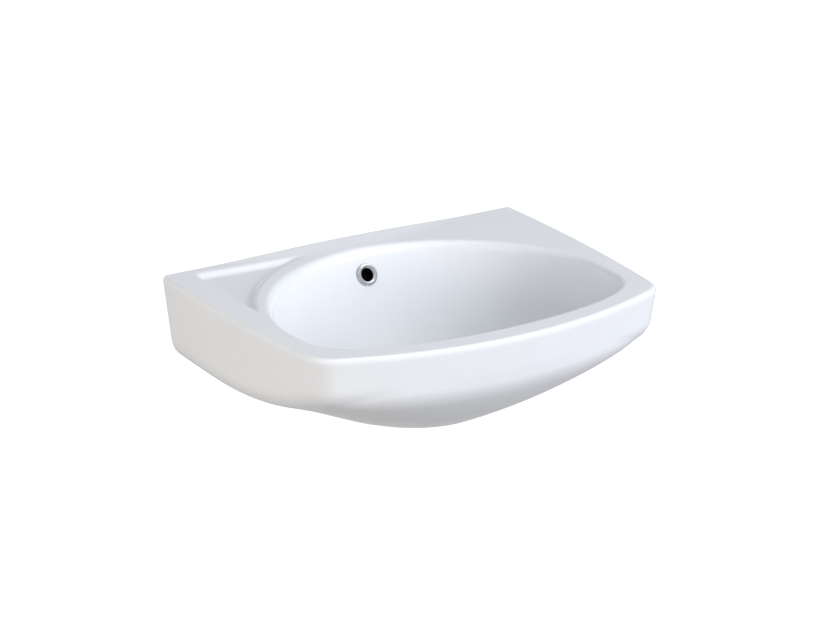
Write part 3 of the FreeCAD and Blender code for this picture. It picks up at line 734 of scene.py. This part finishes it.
def studio_air(light, shown_level):
    """Pale surroundings that light the object evenly, and that the camera and the gloss see as white."""
    world = bpy.data.worlds.new("studio")
    bpy.context.scene.world = world
    world.use_nodes = True
    tree = world.node_tree
    tree.nodes.clear()
    rays = node(tree, "ShaderNodeLightPath")
    seen = node(tree, "ShaderNodeMath", {"operation": "MAXIMUM"},
                links={0: rays.outputs["Is Camera Ray"], 1: rays.outputs["Is Transmission Ray"]})
    # gloss sees pale surroundings that fall off to grey towards the floor
    way = node(tree, "ShaderNodeTexCoord").outputs["Generated"]
    height = node(tree, "ShaderNodeSeparateXYZ", links={"Vector": way})
    fall = node(tree, "ShaderNodeMapRange",
                values={"From Min": -0.4, "From Max": 0.7, "To Min": 0.25, "To Max": shown_level},
                links={"Value": height.outputs["Z"]})
    # the even light comes from above, and a little more of it from the right
    above = node(tree, "ShaderNodeVectorMath", {"operation": "DOT_PRODUCT"}, links={0: way})
    above.inputs[1].default_value = (0.30, -0.14, 0.94)
    dim = node(tree, "ShaderNodeMapRange",
               values={"From Min": -0.5, "From Max": 0.8, "To Min": 0.0, "To Max": light},
               links={"Value": above.outputs["Value"]})
    # and with a large bright patch high above, a little to the right, that has no hard edge
    toward = node(tree, "ShaderNodeVectorMath", {"operation": "DOT_PRODUCT"}, links={0: way})
    toward.inputs[1].default_value = (0.40, -0.10, 0.91)
    softbox = node(tree, "ShaderNodeMapRange", {"interpolation_type": "SMOOTHSTEP"},
                   values={"From Min": 0.78, "From Max": 0.99, "To Min": 0.0, "To Max": 2.4},
                   links={"Value": toward.outputs["Value"]})
    # with a dark patch far behind on the left, which gives the chrome some contrast
    aside = node(tree, "ShaderNodeVectorMath", {"operation": "DOT_PRODUCT"}, links={0: way})
    aside.inputs[1].default_value = (-0.40, 0.83, 0.39)
    doorway = node(tree, "ShaderNodeMapRange",
                   values={"From Min": 0.78, "From Max": 0.95, "To Min": 1.0, "To Max": 0.06},
                   links={"Value": aside.outputs["Value"]})
    room = node(tree, "ShaderNodeMath", {"operation": "MULTIPLY"},
                links={0: fall.outputs["Result"], 1: doorway.outputs["Result"]})
    mirrored = node(tree, "ShaderNodeMath", {"operation": "ADD"},
                    links={0: room.outputs["Value"], 1: softbox.outputs["Result"]})
    glossy = node(tree, "ShaderNodeBackground", values={"Color": colour("FFFFFF")},
                  links={"Strength": mirrored.outputs["Value"]})
    plain = node(tree, "ShaderNodeBackground", values={"Color": colour("FFFFFF"), "Strength": 1.0})
    soft = node(tree, "ShaderNodeBackground", values={"Color": colour("F1F4F8")},
                links={"Strength": dim.outputs["Result"]})
    first = node(tree, "ShaderNodeMixShader", links={
        0: rays.outputs["Is Glossy Ray"], 1: soft.outputs["Background"], 2: glossy.outputs["Background"]})
    both = node(tree, "ShaderNodeMixShader", links={
        0: seen.outputs["Value"], 1: first.outputs["Shader"], 2: plain.outputs["Background"]})
    node(tree, "ShaderNodeOutputWorld", links={"Surface": both.outputs["Shader"]})


def soft_lamp(name, place, aim, size, power, code):
    """A square soft lamp that faces a place on the object and leaves no square mirrored in the glaze."""
    lamp = bpy.data.lights.new(name, "AREA")
    lamp.shape = "RECTANGLE"
    lamp.size, lamp.size_y = size
    lamp.energy = power
    lamp.color = colour(code)[:3]
    holder = bpy.data.objects.new(name, lamp)
    bpy.context.scene.collection.objects.link(holder)
    holder.location = place
    holder.rotation_euler = (Vector(aim) - Vector(place)).to_track_quat("-Z", "Y").to_euler()
    holder.visible_glossy = False


def camera_at_photo_angle():
    """The photograph's camera, 4.5 m away and aimed just below and left of the basin's middle."""
    target = Vector((0, -0.2, 0.06))
    back = Vector((-0.4988, -0.7984, 0.3373))
    right = Vector((0.8481, -0.5298, 0))
    up = Vector((0.1787, 0.2861, 0.9414))
    lens = bpy.data.cameras.new("camera")
    lens.sensor_width = 36
    lens.lens = 149.04
    lens.clip_end = 60
    camera = bpy.data.objects.new("camera", lens)
    bpy.context.scene.collection.objects.link(camera)
    camera.location = target + back * 4.5
    aim = target - right * 0.01201 - up * 0.05087
    camera.rotation_euler = (aim - camera.location).to_track_quat("-Z", "Y").to_euler()
    bpy.context.scene.camera = camera


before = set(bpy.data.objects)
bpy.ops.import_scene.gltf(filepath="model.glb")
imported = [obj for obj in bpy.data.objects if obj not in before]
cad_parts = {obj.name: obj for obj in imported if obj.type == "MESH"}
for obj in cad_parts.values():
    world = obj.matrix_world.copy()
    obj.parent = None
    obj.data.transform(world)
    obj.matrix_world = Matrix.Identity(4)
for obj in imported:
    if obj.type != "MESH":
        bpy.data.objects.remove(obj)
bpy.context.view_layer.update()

china = glazed_ceramic()
chrome = metal("polished_chrome_plate", "CBCED2", 0.05, 0.10, 3.0)
brass = metal("turned_brass", "C8A45A", 0.22, 0.34, 0.8)
stainless = metal("turned_stainless_steel", "C6C7C9", 0.2, 0.3, 0.6)
zinc = metal("zinc_plated_steel", "B9BDC4", 0.28, 0.42, 1.5)
rubber = moulded("black_nitrile_rubber", "1E1E20", 0.5, 0.65, 0.5, 0.03)
# painted shade: near black, standing in for the shade deep inside the overflow hole, where little light
# reaches
overflow_painted_shade = moulded("painted_shade_in_the_overflow", "0E0E0D", 0.85, 0.95, 0.8, 0.05)
white_plastic = moulded("moulded_white_nylon", "E4E2DC", 0.38, 0.5, 0.4, 0.02)
grey_plastic = moulded("moulded_grey_acetal", "8B8E92", 0.35, 0.45, 0.4, 0.02)

body = ceramic_body()
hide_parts("ceramic_basin")
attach(body, "basin")

FITTINGS = [
    # solid, new name, finish, record's slot, body, softened edge in mm
    ("overflow_ring", "chrome_overflow_ring", chrome, "chrome", "basin", 0.5),
    ("waste_body", "chrome_waste", chrome, "chrome", "basin", 0.0),
    ("waste_upper_seal", "rubber_upper_seal", rubber, "rubber", "basin", 0.3),
    ("waste_lower_gasket", "rubber_lower_gasket", rubber, "rubber", "basin", 0.5),
    ("waste_slip_washer", "nylon_slip_washer", white_plastic, "washer_plastic", "basin", 0.2),
    ("waste_back_nut", "brass_back_nut", brass, "brass", "basin", 0.5),
    ("plug_cartridge", "acetal_cartridge", grey_plastic, "grey_plastic", "basin", 0.3),
    ("hanger_bolts", "zinc_hanger_bolts", zinc, "zinc", "basin", 0.2),
    ("fixing_bushes", "nylon_bushes", white_plastic, "washer_plastic", "basin", 0.4),
    ("fixing_washers", "zinc_washers", zinc, "zinc", "basin", 0.2),
    ("fixing_nuts", "zinc_nuts", zinc, "zinc", "basin", 0.4),
    ("nut_caps", "nylon_nut_caps", white_plastic, "washer_plastic", "basin", 0.4),
    ("plug_cap", "chrome_plug", chrome, "chrome", "plug", 0.5),
    ("plug_seal", "rubber_plug_seal", rubber, "rubber", "plug", 0.3),
    ("plug_spindle", "steel_spindle", stainless, "stainless", "plug", 0.3),
]
for solid, name, finish, slot, rides, soften in FITTINGS:
    fitting = carried_over(solid, name, soften)
    fitting.data.materials.clear()
    fitting.data.materials.append(finish)
    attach(fitting, rides)

studio_floor()
studio_air(0.92, 0.85)
soft_lamp("key_from_front_right", (2.1, -3.9, 1.15), (0, -0.22, 0.0), (2.2, 2.2), 146, "F7F8FF")
soft_lamp("warm_from_left", (-3.4, -0.9, 0.1), (0, -0.22, 0.0), (1.8, 1.2), 66, "FFF7EE")
camera_at_photo_angle()
bpy.context.scene.view_settings.view_transform = "Standard"
